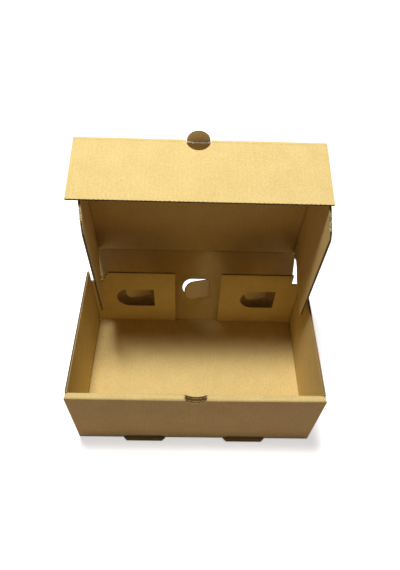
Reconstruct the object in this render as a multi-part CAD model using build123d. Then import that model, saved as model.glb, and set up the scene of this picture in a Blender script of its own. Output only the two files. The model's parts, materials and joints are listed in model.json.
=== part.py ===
from build123d import *
import os

# Lengths in millimetres, angles in degrees. X runs to the right, Y to the back, Z up.
# The origin is the centre of the base's underside. The box is drawn closed, then opened.

# Board
BOARD = 3.0                # thickness of the single-wall corrugated board
FOLD_OUTER = 2.6           # outside radius of a folded wall of the tray
FOLD_INNER = 0.5           # inside radius of a folded wall of the tray
PLY_GAP = 0.3              # air between two plies that lie against each other
CREASE_GAP = 0.3           # air between a moving panel's round end and its neighbour
KERF = 0.8                 # width of the cut round a push-in tongue
PAST = 1.0                 # how far a cutter reaches past what it cuts
NEAR = 0.01                # points closer than this lie on the same line

# Tray
WIDTH = 350.0
DEPTH = 222.2
HEIGHT = 135.0
CORNER_FLAP = 100.0        # length of the flaps held inside the double front wall
MITRE = 3.7                # how far the roll-over's ends draw in from front to back
LOCK_NEAR = 44.0           # inner end of each front lock, from the middle
LOCK_FAR = 108.0           # outer end of each front lock
LOCK_END = 1.0             # board left at each end of a lock's floor slot
TAB_EDGE = 0.3             # air round each locking tab in its floor slot
LIP_REACH = 5.0            # how far each lock lip stands out in front
THUMB_RADIUS = 18.8        # front thumb notch
THUMB_DEPTH = 9.5

# Back wall and its three push-in tongues
PANEL_PLAY = 3.0           # air between a side wall and the edge of the back wall or lid
WALL_CORNER = 6.0          # worn upper right corner
TONGUE_WIDTH = 45.0
TONGUE_LOW = 50.0          # heights of a tongue with the wall upright
TONGUE_HIGH = 82.0
TONGUE_PITCH = 102.5
TONGUE_BEND = 22.0

# Rear flaps with the D-shaped holes that the outer tongues pass through
HOLE_BELOW = 3.0           # room round a tongue in its hole
HOLE_ABOVE = 11.0
LEFT_HOLE_ROOM = (9.0, 9.5)
RIGHT_HOLE_ROOM = (4.0, 9.0)
HOLE_CORNER = 2.0          # rounding of the square end of each hole
LEFT_FLAP_ROOM = 12.5      # from the centre tongue to the free end of each rear flap
RIGHT_FLAP_ROOM = 17.5
NOTCH_DROP = 23.0          # depth of the notch that a side flap of the lid passes through
NOTCH_PLAY = 9.0           # air beside the root of the right side flap in its notch
NOTCH_ROUND = 3.0
NOTCH_CRUSH = 14.0         # the left side flap, hanging inwards, has crushed its notch wider
TEAR_RISE = 23.0           # height of the torn side of the left notch
TEAR_RUN = 10.5            # how far the tear spreads at the top
TEAR = [(0.0, 0.30), (0.40, 0.42), (0.44, 0.65), (0.85, 0.82), (1.0, 1.05)]   # shares of both

# Lid
LID_SEAT = 0.3             # air between the closed lid and the walls
FLAP_PLAY = 4.8            # from the front wall to the closed front flap
SIDE_FLAP_LIFT = 2.8       # from the floor to a side flap of the closed lid
ROOT_PLAY = 0.8            # from the back wall to the root of a side flap
REAR_PLAY = 0.6            # from a rear flap to the rear edge of a side flap
FRONT_PLAY = 0.8           # from the front wall to the front edge of a side flap
RELIEF = 12.0              # hollow of the rear edge, measured from the rear crease
RELIEF_START = 14.0        # depths at which the hollow starts, bottoms out and ends
RELIEF_TOP = 28.0
RELIEF_BOTTOM = 42.0
RELIEF_END = 64.0
SIDE_FLAP_TAPER = 7.3      # how far the front edge draws back by the shoulder
SIDE_FLAP_SHOULDER = 95.0  # depth of the shoulder, where the flap is cut away more
SIDE_FLAP_CORNER = 9.0     # depth of the cut-away corner
CORNER_SETBACK = 9.0       # how far each of its two slanted edges draws back
LEFT_SWING = 10.5          # the side flaps hang inwards, the left one more
RIGHT_SWING = 2.5
FRONT_CREASE_GAP = 2.6     # the front flap folds past a right angle, so it needs more room
THUMB_TAB = 15.6           # radius of the lid's thumb tab
THUMB_TAB_X = -3.0
TAB_CUT = 0.8              # air round the thumb tab

# Front flap of the lid
FRONT_FLAP_INSET = 2.0     # how much narrower than the lid it is, each side
FRONT_FLAP_LENGTH = 96.0

# How far the box stands open
WALL_LEAN = 26.0           # back wall, back from upright
LID_OPEN = 60.5            # lid, from a right angle with the back wall
FRONT_FLAP_EXTRA = 10.5    # front flap, past a right angle with the lid

HALF_BOARD = BOARD / 2
HALF_WIDTH = WIDTH / 2
FRONT = -DEPTH / 2
BACK = DEPTH / 2
SIDE_IN = HALF_WIDTH - BOARD
HALF_PANEL = SIDE_IN - PANEL_PLAY

# Plies of the front wall, from the outside in
OUTER_PLY_BACK = FRONT + BOARD
CORNER_FLAP_FRONT = OUTER_PLY_BACK + PLY_GAP
CORNER_FLAP_BACK = CORNER_FLAP_FRONT + BOARD
INNER_PLY_FRONT = CORNER_FLAP_BACK + PLY_GAP
INNER_PLY_BACK = INNER_PLY_FRONT + BOARD

# Plies at the back: the rear flaps stand just inside the back wall
REAR_FLAP_BACK = BACK - BOARD - PLY_GAP
REAR_FLAP_FRONT = REAR_FLAP_BACK - BOARD
LEFT_FLAP_END = -TONGUE_WIDTH / 2 - LEFT_FLAP_ROOM
RIGHT_FLAP_END = TONGUE_WIDTH / 2 + RIGHT_FLAP_ROOM
NOTCH_FLOOR = HEIGHT - NOTCH_DROP
NOTCH_RIGHT = HALF_PANEL - BOARD - NOTCH_PLAY
NOTCH_LEFT = BOARD + NOTCH_CRUSH - HALF_PANEL

# Crease lines, each a point in (Y, Z), with the box closed
WALL_CREASE = (BACK - HALF_BOARD, HALF_BOARD)
LID_CREASE = (WALL_CREASE[0], HEIGHT + LID_SEAT + HALF_BOARD)
FLAP_CREASE = (FRONT - FLAP_PLAY - HALF_BOARD, LID_CREASE[1])

# Edges of the lid's side flaps, each measured from the rear crease or down from the lid
SIDE_FLAP_ROOT = HALF_BOARD + ROOT_PLAY
SIDE_FLAP_BACK = LID_CREASE[0] - REAR_FLAP_FRONT + REAR_PLAY
SIDE_FLAP_FRONT = LID_CREASE[0] - INNER_PLY_BACK - FRONT_PLAY
SIDE_FLAP_DEPTH = LID_CREASE[1] - BOARD - SIDE_FLAP_LIFT


def slab(x, y, z):
    """A flat piece of board between two values on each axis."""
    size = [high - low for low, high in (x, y, z)]
    centre = [(high + low) / 2 for low, high in (x, y, z)]
    return Pos(*centre) * Box(*size)


def across(points, y):
    """An outline in (X, Z) given depth between two values of Y."""
    outline = Plane.XZ.offset(-y[1]) * Polygon(*points, align=None)
    return extrude(outline, amount=y[1] - y[0], dir=(0, -1, 0))


def flat(points, z):
    """An outline in (X, Y) given height between two values of Z."""
    outline = Plane.XY.offset(z[0]) * Polygon(*points, align=None)
    return extrude(outline, amount=z[1] - z[0], dir=(0, 0, 1))


def rod(x, crease):
    """The round outside of a crease that runs along X."""
    length = x[1] - x[0]
    middle = Pos((x[0] + x[1]) / 2, crease[0], crease[1])
    return middle * Rot(0, 90, 0) * Cylinder(HALF_BOARD, length)


def turn(shape, crease, angle):
    """Turn a shape about a crease that runs along X; a positive angle closes the box."""
    return shape.rotate(Axis((0, crease[0], crease[1]), (1, 0, 0)), angle)


def d_outline(x, z, corner):
    """A D lying on its side: round at low X, square with small corners at high X."""
    radius = (z[1] - z[0]) / 2
    middle = (z[0] + z[1]) / 2
    with BuildSketch() as outline:
        with Locations((x[0] + radius, middle)):
            Circle(radius)
        with Locations(((x[0] + radius + x[1]) / 2, middle)):
            Rectangle(x[1] - x[0] - radius, 2 * radius)
        if corner > 0:
            fillet(outline.vertices().group_by(Axis.X)[-1], corner)
    return outline.sketch


def d_plate(x, y, z, corner=0):
    """A D-shaped piece, or cutter, between two values of Y."""
    outline = Plane.XZ.offset(-y[1]) * d_outline(x, z, corner)
    return extrude(outline, amount=y[1] - y[0], dir=(0, -1, 0))


def tray_floor():
    """Floor with the two creases that turn up into the side walls."""
    crease_top = 2 * BOARD
    outer = Rectangle(WIDTH, crease_top, align=(Align.CENTER, Align.MIN))
    outer = fillet(outer.vertices().group_by(Axis.Y)[0], FOLD_OUTER)
    inner = Pos(0, BOARD) * Rectangle(2 * SIDE_IN, crease_top, align=(Align.CENTER, Align.MIN))
    inner = fillet(inner.vertices().group_by(Axis.Y)[0], FOLD_INNER)
    trough = Plane.XZ.offset(-REAR_FLAP_FRONT) * (outer - inner)
    rear_edge = WALL_CREASE[0] - HALF_BOARD - CREASE_GAP
    floor = extrude(trough, amount=REAR_FLAP_FRONT - INNER_PLY_BACK, dir=(0, -1, 0))
    return floor + slab((-HALF_PANEL, HALF_PANEL), (REAR_FLAP_FRONT - PAST, rear_edge), (0, BOARD))


def side_wall(side):
    """Side wall with its front corner flap and its rear flap, all one strip folded twice."""
    outer_x = side * HALF_WIDTH
    end_x = side * (SIDE_IN - CORNER_FLAP)
    plan = Polygon(
        (end_x, CORNER_FLAP_FRONT), (outer_x, CORNER_FLAP_FRONT),
        (outer_x, REAR_FLAP_BACK), (end_x, REAR_FLAP_BACK), align=None)
    plan = fillet(plan.vertices().filter_by(lambda v: abs(v.X - outer_x) < NEAR), FOLD_OUTER)
    inner_x = side * SIDE_IN
    past_end = end_x - side * PAST
    room = Polygon(
        (past_end, CORNER_FLAP_BACK), (inner_x, CORNER_FLAP_BACK),
        (inner_x, REAR_FLAP_FRONT), (past_end, REAR_FLAP_FRONT), align=None)
    room = fillet(room.vertices().filter_by(lambda v: abs(v.X - inner_x) < NEAR), FOLD_INNER)
    low = BOARD + PLY_GAP
    strip = extrude(Plane.XY.offset(low) * (plan - room), amount=HEIGHT - low, dir=(0, 0, 1))
    under_roll = HEIGHT - BOARD - PLY_GAP
    clear = sorted((past_end, outer_x + side * PAST))
    roll_room = (CORNER_FLAP_FRONT - PAST, INNER_PLY_BACK + PLY_GAP)
    strip -= slab(clear, roll_room, (under_roll, HEIGHT + PAST))
    free_end = LEFT_FLAP_END if side < 0 else RIGHT_FLAP_END
    reach = sorted((free_end, end_x + side * PAST))
    strip += slab(reach, (REAR_FLAP_FRONT, REAR_FLAP_BACK), (low, HEIGHT))
    return strip


def tongue_span(column):
    """X of the round end and of the hinge of one tongue; column is -1, 0 or 1."""
    middle = column * TONGUE_PITCH
    return (middle - TONGUE_WIDTH / 2, middle + TONGUE_WIDTH / 2)


def rear_flap_cuts():
    """The D-shaped holes and the notches in the two rear flaps."""
    through = (REAR_FLAP_FRONT - PAST, REAR_FLAP_BACK + PAST)
    height = (TONGUE_LOW - HOLE_BELOW, TONGUE_HIGH + HOLE_ABOVE)
    cuts = []
    for column, room in ((-1, LEFT_HOLE_ROOM), (1, RIGHT_HOLE_ROOM)):
        left, hinge = tongue_span(column)
        hole = (left - room[0], hinge + room[1])
        cuts.append(d_plate(hole, through, height, HOLE_CORNER))
    right = slab((NOTCH_RIGHT, SIDE_IN), through, (NOTCH_FLOOR, HEIGHT + PAST))
    inner_edge = right.edges().filter_by(Axis.Y).group_by(Axis.X)[0].sort_by(Axis.Z)[0]
    cuts.append(fillet(inner_edge, NOTCH_ROUND))
    torn_side = [(NOTCH_LEFT + TEAR_RUN * run, NOTCH_FLOOR + TEAR_RISE * rise) for run, rise in TEAR]
    left = [(-SIDE_IN, NOTCH_FLOOR), (NOTCH_LEFT, NOTCH_FLOOR)]
    left += torn_side + [(-SIDE_IN, torn_side[-1][1])]
    cuts.append(across(left, through))
    return cuts


def front_wall():
    """Double front wall: one panel up, over the top and down again inside."""
    roll = Pos(FRONT, 0) * Rectangle(INNER_PLY_BACK - FRONT, HEIGHT, align=Align.MIN)
    rounded = roll.vertices().filter_by(lambda v: v.Y > NEAR or v.X < FRONT + NEAR)
    roll = fillet(rounded, FOLD_OUTER)
    hollow = Pos(OUTER_PLY_BACK, BOARD) * Rectangle(
        INNER_PLY_FRONT - OUTER_PLY_BACK, HEIGHT - 2 * BOARD, align=Align.MIN)
    hollow = fillet(hollow.vertices().group_by(Axis.Y)[-1], FOLD_INNER)
    wall = extrude(Plane.YZ.offset(-HALF_WIDTH) * (roll - hollow), amount=WIDTH, dir=(1, 0, 0))
    wide = (-HALF_WIDTH - PAST, HALF_WIDTH + PAST)
    behind = INNER_PLY_BACK + PAST
    wall -= slab(wide, (INNER_PLY_FRONT - PAST, behind), (BOARD, BOARD + PLY_GAP))
    for side in (-1, 1):
        drawn_in = side * (HALF_WIDTH - MITRE)
        past_end = side * (HALF_WIDTH + PAST)
        wedge = [(side * HALF_WIDTH, FRONT), (past_end, behind),
                 (drawn_in, behind), (drawn_in, INNER_PLY_BACK)]
        wall -= flat(wedge, (HEIGHT - BOARD - PLY_GAP, HEIGHT + PAST))
        ends = sorted((drawn_in, past_end))
        wall -= slab(ends, (OUTER_PLY_BACK, behind), (BOARD, HEIGHT - BOARD))
        corner = sorted((side * SIDE_IN, past_end))
        wall -= slab(corner, (OUTER_PLY_BACK, behind), (-PAST, HEIGHT - BOARD))
    return wall


def front_locks(wall):
    """Lock lips left flat by the fold, the openings they leave, and the tabs behind them."""
    for side in (-1, 1):
        near, far = side * LOCK_NEAR, side * LOCK_FAR
        slant = side * LIP_REACH
        window = [(near, BOARD), (far, BOARD), (far - slant, BOARD + LIP_REACH),
                  (near + slant, BOARD + LIP_REACH)]
        wall -= across(window, (FRONT - PAST, OUTER_PLY_BACK))
        lip = [(near, OUTER_PLY_BACK), (near, FRONT), (near + slant, FRONT - LIP_REACH),
               (far - slant, FRONT - LIP_REACH), (far, FRONT), (far, OUTER_PLY_BACK)]
        wall += flat(lip, (0, BOARD))
        slot = sorted((near + side * LOCK_END, far - side * LOCK_END))
        wall -= slab(slot, (INNER_PLY_FRONT - TAB_EDGE, INNER_PLY_BACK), (-PAST, BOARD))
        tab = (slot[0] + TAB_EDGE, slot[1] - TAB_EDGE)
        wall += slab(tab, (INNER_PLY_FRONT, INNER_PLY_BACK), (TAB_EDGE, BOARD + PLY_GAP))
    return wall


def slot_clearance(side):
    """The part of a lock's floor slot that reaches behind the front wall."""
    slot = sorted((side * (LOCK_NEAR + LOCK_END), side * (LOCK_FAR - LOCK_END)))
    return slab(slot, (INNER_PLY_BACK, INNER_PLY_BACK + TAB_EDGE), (-PAST, BOARD + PAST))


def make_base():
    """Floor, side walls, rolled front wall and rear flaps: one folded sheet."""
    base = tray_floor() + front_locks(front_wall())
    for side in (-1, 1):
        base += side_wall(side)
        base -= slot_clearance(side)
    for cut in rear_flap_cuts():
        base -= cut
    thumb = Pos(0, FRONT, HEIGHT + THUMB_RADIUS - THUMB_DEPTH) * Rot(90, 0, 0)
    return base - thumb * Cylinder(THUMB_RADIUS, 2 * (INNER_PLY_BACK - FRONT + PAST))


def make_back_wall():
    """Back wall, with a round lower end and an opening round each tongue."""
    top = LID_CREASE[1] - HALF_BOARD - CREASE_GAP
    y = (WALL_CREASE[0] - HALF_BOARD, WALL_CREASE[0] + HALF_BOARD)
    wall = slab((-HALF_PANEL, HALF_PANEL), y, (WALL_CREASE[1], top))
    corner = wall.edges().filter_by(Axis.Y).group_by(Axis.Z)[-1].sort_by(Axis.X)[-1]
    wall = fillet(corner, WALL_CORNER)
    wall += rod((-HALF_PANEL, HALF_PANEL), WALL_CREASE)
    for column in (-1, 0, 1):
        left, hinge = tongue_span(column)
        hole = (left - KERF, hinge + HALF_BOARD + CREASE_GAP)
        wall -= d_plate(hole, (y[0] - PAST, y[1] + PAST), (TONGUE_LOW - KERF, TONGUE_HIGH + KERF))
    return wall


def make_tongue(column):
    """One push-in tongue, hinged on its square end and bent into the box."""
    left, hinge = tongue_span(column)
    y = (WALL_CREASE[0] - HALF_BOARD, WALL_CREASE[0] + HALF_BOARD)
    tongue = d_plate((left, hinge), y, (TONGUE_LOW, TONGUE_HIGH))
    height = TONGUE_HIGH - TONGUE_LOW
    tongue += Pos(hinge, WALL_CREASE[0], TONGUE_LOW + height / 2) * Cylinder(HALF_BOARD, height)
    return tongue.rotate(Axis((hinge, WALL_CREASE[0], 0), (0, 0, 1)), TONGUE_BEND)


def side_flap(side, swing):
    """Side flap of the lid; its rear edge is hollowed to pass the rear flaps."""
    crease_x = side * (HALF_PANEL - HALF_BOARD)
    rear, top = LID_CREASE
    shoulder = SIDE_FLAP_FRONT - SIDE_FLAP_TAPER
    outline = [
        (SIDE_FLAP_ROOT, 0), (SIDE_FLAP_ROOT, RELIEF_START),
        (RELIEF, RELIEF_TOP), (RELIEF, RELIEF_BOTTOM), (SIDE_FLAP_BACK, RELIEF_END),
        (SIDE_FLAP_BACK, SIDE_FLAP_DEPTH),
        (shoulder - 2 * CORNER_SETBACK, SIDE_FLAP_DEPTH),
        (shoulder - CORNER_SETBACK, SIDE_FLAP_DEPTH - SIDE_FLAP_CORNER),
        (shoulder, SIDE_FLAP_SHOULDER), (SIDE_FLAP_FRONT, 0)]
    sketch = Polygon(*[(rear - along, top - down) for along, down in outline], align=None)
    sketch = fillet(sketch.vertices().filter_by(lambda v: top - v.Y > NEAR), BOARD)
    flap = extrude(Plane.YZ.offset(crease_x) * sketch, amount=HALF_BOARD, both=True)
    length = SIDE_FLAP_FRONT - SIDE_FLAP_ROOT
    middle = rear - SIDE_FLAP_ROOT - length / 2
    flap += Pos(crease_x, middle, top) * Rot(90, 0, 0) * Cylinder(HALF_BOARD, length)
    return flap.rotate(Axis((crease_x, 0, top), (0, 1, 0)), side * swing)


def make_lid():
    """Lid panel with its thumb tab and two side flaps."""
    half = HALF_PANEL - HALF_BOARD
    z = (LID_CREASE[1] - HALF_BOARD, LID_CREASE[1] + HALF_BOARD)
    lid = slab((-half, half), (FLAP_CREASE[0] + FRONT_CREASE_GAP, LID_CREASE[0]), z)
    lid += rod((-half, half), LID_CREASE)
    tab_x = (THUMB_TAB_X - THUMB_TAB, THUMB_TAB_X + THUMB_TAB)
    lid += slab(tab_x, (FLAP_CREASE[0], FLAP_CREASE[0] + FRONT_CREASE_GAP), z)
    tab = Cylinder(THUMB_TAB, BOARD) & Pos(0, -THUMB_TAB, 0) * Box(2 * THUMB_TAB, 2 * THUMB_TAB, BOARD)
    lid += Pos(THUMB_TAB_X, *FLAP_CREASE) * tab
    lid += side_flap(1, RIGHT_SWING)
    lid += side_flap(-1, LEFT_SWING)
    return lid


def make_front_flap():
    """Front flap of the lid, cut out round the thumb tab."""
    half = HALF_PANEL - FRONT_FLAP_INSET
    y = (FLAP_CREASE[0] - HALF_BOARD, FLAP_CREASE[0] + HALF_BOARD)
    flap = slab((-half, half), y, (FLAP_CREASE[1] - FRONT_FLAP_LENGTH, FLAP_CREASE[1]))
    flap += rod((-half, half), FLAP_CREASE)
    cut = Rot(90, 0, 0) * Cylinder(THUMB_TAB + TAB_CUT, BOARD + 2 * PAST)
    return flap - Pos(THUMB_TAB_X, *FLAP_CREASE) * cut


def open_wall(shape):
    """Carry a piece of the back wall from closed to open."""
    return turn(shape, WALL_CREASE, -WALL_LEAN)


def open_lid(shape):
    """Carry a piece of the lid from closed to open."""
    return open_wall(turn(shape, LID_CREASE, -LID_OPEN))


def open_flap(shape):
    """Carry the front flap from closed to open."""
    return open_lid(turn(shape, FLAP_CREASE, FRONT_FLAP_EXTRA))


pieces = {
    "base_tray": make_base(),
    "back_wall": open_wall(make_back_wall()),
    "tongue_left": open_wall(make_tongue(-1)),
    "tongue_centre": open_wall(make_tongue(0)),
    "tongue_right": open_wall(make_tongue(1)),
    "lid": open_lid(make_lid()),
    "lid_front_flap": open_flap(make_front_flap()),
}

os.makedirs("parts", exist_ok=True)
for name, piece in pieces.items():
    export_step(piece, f"parts/{name}.step")
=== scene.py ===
# %% [markdown]
# # An open corrugated box
# The box is one sheet of kraft board, cut, creased and folded. The solids of its panels are
# already made, so this lesson keeps their shape and gives them what a plain solid lacks:
# real flutes in every cut edge, paper that looks like paper, the creases between the panels
# that turn, and the torn corners.
#
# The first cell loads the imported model. Every length after it is in metres, with X to the
# right, Y to the back and Z up.

# %% Load the frame
import json
import math
import bmesh
import bpy
from mathutils import Matrix, Vector


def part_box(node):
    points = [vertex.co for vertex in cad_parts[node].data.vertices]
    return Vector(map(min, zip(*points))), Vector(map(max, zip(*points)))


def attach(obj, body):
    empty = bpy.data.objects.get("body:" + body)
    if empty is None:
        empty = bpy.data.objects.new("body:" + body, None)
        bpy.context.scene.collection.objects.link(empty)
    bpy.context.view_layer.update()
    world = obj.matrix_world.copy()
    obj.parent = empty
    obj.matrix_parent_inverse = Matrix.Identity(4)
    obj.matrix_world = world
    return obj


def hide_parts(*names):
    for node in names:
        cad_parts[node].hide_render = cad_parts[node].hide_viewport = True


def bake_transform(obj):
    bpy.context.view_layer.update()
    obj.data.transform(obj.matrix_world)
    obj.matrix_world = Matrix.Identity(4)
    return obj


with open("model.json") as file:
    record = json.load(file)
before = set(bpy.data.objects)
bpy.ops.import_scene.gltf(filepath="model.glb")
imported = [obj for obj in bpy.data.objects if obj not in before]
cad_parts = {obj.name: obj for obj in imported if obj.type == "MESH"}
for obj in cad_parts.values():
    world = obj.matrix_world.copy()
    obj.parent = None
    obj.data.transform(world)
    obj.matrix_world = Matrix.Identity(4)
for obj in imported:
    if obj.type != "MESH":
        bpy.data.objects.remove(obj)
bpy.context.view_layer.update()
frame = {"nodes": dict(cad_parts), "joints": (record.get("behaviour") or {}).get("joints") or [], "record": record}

print("nodes", sorted(frame["nodes"]))

# %% [markdown]
# ## Where the creases are
# A crease is a line that a panel turns about, so the joints already say where each one is.
# Reading them here means that nothing is measured twice: the lean of the back wall and the
# angle of the lid follow from three points.

# %% Read the creases from the joints
MM = 0.001
BOARD = 3.0 * MM
PLY_GAP = 0.3 * MM
SWINGS = {-1: math.radians(10.5), 1: math.radians(2.5)}   # the lid's side flaps hang inwards

joints = {joint["name"]: joint for joint in frame["joints"]}
wall_crease = Vector(joints["wall_hinge"]["pos_m"])
lid_crease = Vector(joints["lid_hinge"]["pos_m"])
flap_crease = Vector(joints["front_flap_hinge"]["pos_m"])
flap_extra = math.radians(-joints["front_flap_hinge"]["range_deg"][0])

RIGHT = Vector((1, 0, 0))
BACKWARD = Vector((0, 1, 0))
UP = Vector((0, 0, 1))
wall_up = (lid_crease - wall_crease).normalized()
lid_out = (flap_crease - lid_crease).normalized()
lid_down = Matrix.Rotation(math.pi / 2, 3, RIGHT) @ lid_out
flap_out = Matrix.Rotation(math.pi / 2 + flap_extra, 3, RIGHT) @ lid_out
wall_height = (lid_crease - wall_crease).length
lid_length = (flap_crease - lid_crease).length
print("back wall leans", round(math.degrees(math.atan2(wall_up.y, wall_up.z)), 1), "degrees")

# %% [markdown]
# ## The camera
# The view comes first, because it decides which details are worth making. A camera is an
# object whose own X, Y and Z axes are right, up and backwards. Three angles give those axes.
# The focal length is written in pixels of the photograph and turned into millimetres on the
# sensor, whose width belongs to the picture's longer side.

# %% Set the camera
CAMERA_PLACE = Vector((-0.013, -0.383, 0.726))
PITCH = math.radians(51.69)         # looking down
YAW = math.radians(2.24)
ROLL = math.radians(2.83)
FOCAL_PX = 478.0
LONG_SIDE_PX = 570.0
SENSOR = 36.0


def camera_axes(pitch, yaw, roll):
    """The camera's right, up and backward axes."""
    ahead = Vector((math.sin(yaw) * math.cos(pitch), math.cos(yaw) * math.cos(pitch), -math.sin(pitch)))
    level = Vector((math.cos(yaw), -math.sin(yaw), 0))
    above = level.cross(ahead)
    right = level * math.cos(roll) + above * math.sin(roll)
    up = above * math.cos(roll) - level * math.sin(roll)
    return right, up, -ahead


lens = bpy.data.cameras.new("photo_camera")
lens.sensor_width = SENSOR
lens.lens = FOCAL_PX / LONG_SIDE_PX * SENSOR
camera = bpy.data.objects.new("photo_camera", lens)
bpy.context.scene.collection.objects.link(camera)
axes = camera_axes(PITCH, YAW, ROLL)
camera.matrix_world = Matrix.Translation(CAMERA_PLACE) @ Matrix(axes).transposed().to_4x4()
bpy.context.scene.camera = camera
print("lens", round(lens.lens, 2), "mm")

# %% [markdown]
# ## Floor and light
# The box stands on a plain pale floor under one wide soft lamp, so every face that looks up
# is bright and every upright face is much darker, as in the photograph. A white floor would
# throw too much light back on the front of the box. So the floor is pale only for the camera
# and grey for the light that bounces, which the Light Path node tells apart. Far from the box
# the floor fades to white, so that no horizon shows in a low view.

# %% Make the floor
FLOOR_SIZE = 8.0
FLOOR_DROP = 0.0004                 # keeps the floor from flickering through the board
PALE = (0.93, 0.93, 0.93, 1)
BOUNCE = (0.60, 0.46, 0.45, 1)      # the table as the light sees it
FLOOR_GLOW = (0.60, 1.0)            # light of its own under the box, and far from it
FLOOR_FADE = (0.9, 2.6)             # from where to where the one turns into the other


def new_material(name):
    """A node material with its shader and output, and a way to add linked nodes."""
    material = bpy.data.materials.new(name)
    material.use_nodes = True
    nodes = material.node_tree.nodes
    return material, nodes, material.node_tree.links, nodes["Principled BSDF"]


def seen_plainly(nodes, links):
    """1 for a ray from the camera, or one on through gloss or glass, and 0 for a soft bounce."""
    path = nodes.new("ShaderNodeLightPath").outputs
    seen = path["Is Camera Ray"]
    for kind in ("Is Glossy Ray", "Is Transmission Ray"):
        either = nodes.new("ShaderNodeMath")
        either.operation = "MAXIMUM"
        links.new(seen, either.inputs[0])
        links.new(path[kind], either.inputs[1])
        seen = either.outputs[0]
    return seen


def pale_floor():
    """Pale to the camera, grey to the light that bounces off it, and paler far away."""
    material, nodes, links, shader = new_material("floor_pale")
    seen = seen_plainly(nodes, links)
    mix = nodes.new("ShaderNodeMix")
    mix.data_type = "RGBA"
    mix.inputs["A"].default_value = BOUNCE
    mix.inputs["B"].default_value = PALE
    away = nodes.new("ShaderNodeVectorMath")
    away.operation = "LENGTH"
    fade = nodes.new("ShaderNodeMapRange")
    for socket, value in zip(("From Min", "From Max", "To Min", "To Max"), FLOOR_FADE + FLOOR_GLOW):
        fade.inputs[socket].default_value = value
    glow = nodes.new("ShaderNodeMath")
    glow.operation = "MULTIPLY"
    links.new(seen, mix.inputs["Factor"])
    links.new(nodes.new("ShaderNodeTexCoord").outputs["Object"], away.inputs[0])
    links.new(away.outputs["Value"], fade.inputs["Value"])
    links.new(seen, glow.inputs[0])
    links.new(fade.outputs["Result"], glow.inputs[1])
    links.new(mix.outputs["Result"], shader.inputs["Base Color"])
    links.new(glow.outputs[0], shader.inputs["Emission Strength"])
    shader.inputs["Emission Color"].default_value = (1, 1, 1, 1)
    shader.inputs["Roughness"].default_value = 1.0
    return material


floor_mesh = bpy.data.meshes.new("floor")
edge = FLOOR_SIZE / 2
corners = [(-edge, -edge), (edge, -edge), (edge, edge), (-edge, edge)]
floor_mesh.from_pydata([(x, y, -FLOOR_DROP) for x, y in corners], [], [(0, 1, 2, 3)])
floor_mesh.materials.append(pale_floor())
floor = bpy.data.objects.new("floor", floor_mesh)
bpy.context.scene.collection.objects.link(floor)
print("floor", FLOOR_SIZE, "m wide")

# %% [markdown]
# In the photograph the shadow of the lid falls on the tray's floor, a little forward and to
# the right. So the lamp hangs high up, a little behind the box and to its left. Its size sets
# how soft the shadow's edge is. The world adds only a trace of warm light, and the camera
# sees it white, in the same way as the floor.

# %% Hang the lamp and set the world
LAMP_FROM = Vector((-0.09, 0.09, 0.95))
LAMP_TARGET = Vector((0, 0.05, 0.10))
LAMP_FAR = 2.0
LAMP_SIZE = 0.42
LAMP_POWER = 43.5
WORLD_LIGHT = (0.035, 0.030, 0.027, 1)

lamp_data = bpy.data.lights.new("softbox", "AREA")
lamp_data.shape = "SQUARE"
lamp_data.size = LAMP_SIZE
lamp_data.energy = LAMP_POWER
lamp = bpy.data.objects.new("softbox", lamp_data)
lamp.location = LAMP_TARGET + LAMP_FROM.normalized() * LAMP_FAR
lamp.rotation_euler = (-LAMP_FROM).to_track_quat("-Z", "Y").to_euler()
bpy.context.scene.collection.objects.link(lamp)

world = bpy.data.worlds.new("studio")
world.use_nodes = True
bpy.context.scene.world = world
sky = world.node_tree.nodes["Background"]
seen = seen_plainly(world.node_tree.nodes, world.node_tree.links)
sky_mix = world.node_tree.nodes.new("ShaderNodeMix")
sky_mix.data_type = "RGBA"
sky_mix.inputs["A"].default_value = WORLD_LIGHT
sky_mix.inputs["B"].default_value = (1, 1, 1, 1)
world.node_tree.links.new(seen, sky_mix.inputs["Factor"])
world.node_tree.links.new(sky_mix.outputs["Result"], sky.inputs["Color"])
sky.inputs["Strength"].default_value = 1.0
bpy.context.scene.view_settings.view_transform = "Standard"
print("lamp", round((lamp.location - LAMP_TARGET).length, 2), "m from the box")

# %% [markdown]
# ## Kraft paper
# Kraft liner is unbleached pulp: a warm brown sheet with soft clouds where the pulp is
# thicker, fine fibres lying every way, and a few dark and pale specks. It has almost no
# gloss. Pressed on to flutes, it ripples over them in faint parallel stripes, raised by bump
# and with their shade painted into the colour. Each of these is one noise or wave. The clouds
# and fibres read Object coordinates, so they run on over a fold, and the stripes read the UV
# map, which is laid across the flutes panel by panel.
#
# First come the small steps that every paper uses: a noise, a stretch of values, a sum, a
# mix, specks, stripes and bump.

# %% Write the steps of a paper
FLUTE_PITCH = 5.83 * MM             # from one flute's crest to the next


def add_noise(nodes, links, source, scale, detail, stretch=(1, 1, 1)):
    """A noise on the given coordinates, with that many features to a metre."""
    mapping = nodes.new("ShaderNodeMapping")
    mapping.inputs["Scale"].default_value = stretch
    noise = nodes.new("ShaderNodeTexNoise")
    noise.inputs["Scale"].default_value = scale
    noise.inputs["Detail"].default_value = detail
    links.new(source, mapping.inputs["Vector"])
    links.new(mapping.outputs["Vector"], noise.inputs["Vector"])
    return noise.outputs["Fac"]


def add_range(nodes, links, value, low, high, to_low=0.0, to_high=1.0):
    """Stretch a value between two limits."""
    ranger = nodes.new("ShaderNodeMapRange")
    ranger.inputs["From Min"].default_value = low
    ranger.inputs["From Max"].default_value = high
    ranger.inputs["To Min"].default_value = to_low
    ranger.inputs["To Max"].default_value = to_high
    links.new(value, ranger.inputs["Value"])
    return ranger.outputs["Result"]


def add_sum(nodes, links, first, second, share):
    """The first value plus a share of the second."""
    total = nodes.new("ShaderNodeMath")
    total.operation = "MULTIPLY_ADD"
    total.inputs[1].default_value = share
    links.new(second, total.inputs[0])
    links.new(first, total.inputs[2])
    return total.outputs[0]


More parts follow.
